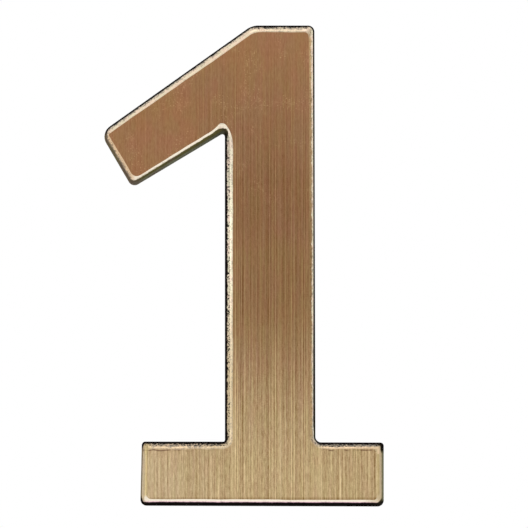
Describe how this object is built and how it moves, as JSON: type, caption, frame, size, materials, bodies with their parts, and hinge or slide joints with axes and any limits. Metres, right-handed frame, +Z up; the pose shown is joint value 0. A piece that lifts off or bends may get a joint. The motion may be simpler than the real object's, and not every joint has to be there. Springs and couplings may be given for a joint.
{
  "type": "house number",
  "caption": "Self-adhesive house number in the shape of the digit 1: a flat casting with a bevelled front edge on a foam pad that sticks to a door or wall.",
  "frame": {"origin": "on the sticky side of the foam pad, at half the numeral's height, behind the middle of its foot", "axes": "+Z up the numeral, +X to the right as it is read, +Y into the door or wall; the face looks along -Y"},
  "size_m": [0.0291, 0.005, 0.05],
  "materials": {
    "antique_brass": "satin",
    "adhesive_foam": "matte"
  },
  "bodies": {
    "root": {"number_body": "antique_brass", "adhesive_pad": "adhesive_foam"}
  },
  "joints": []
}
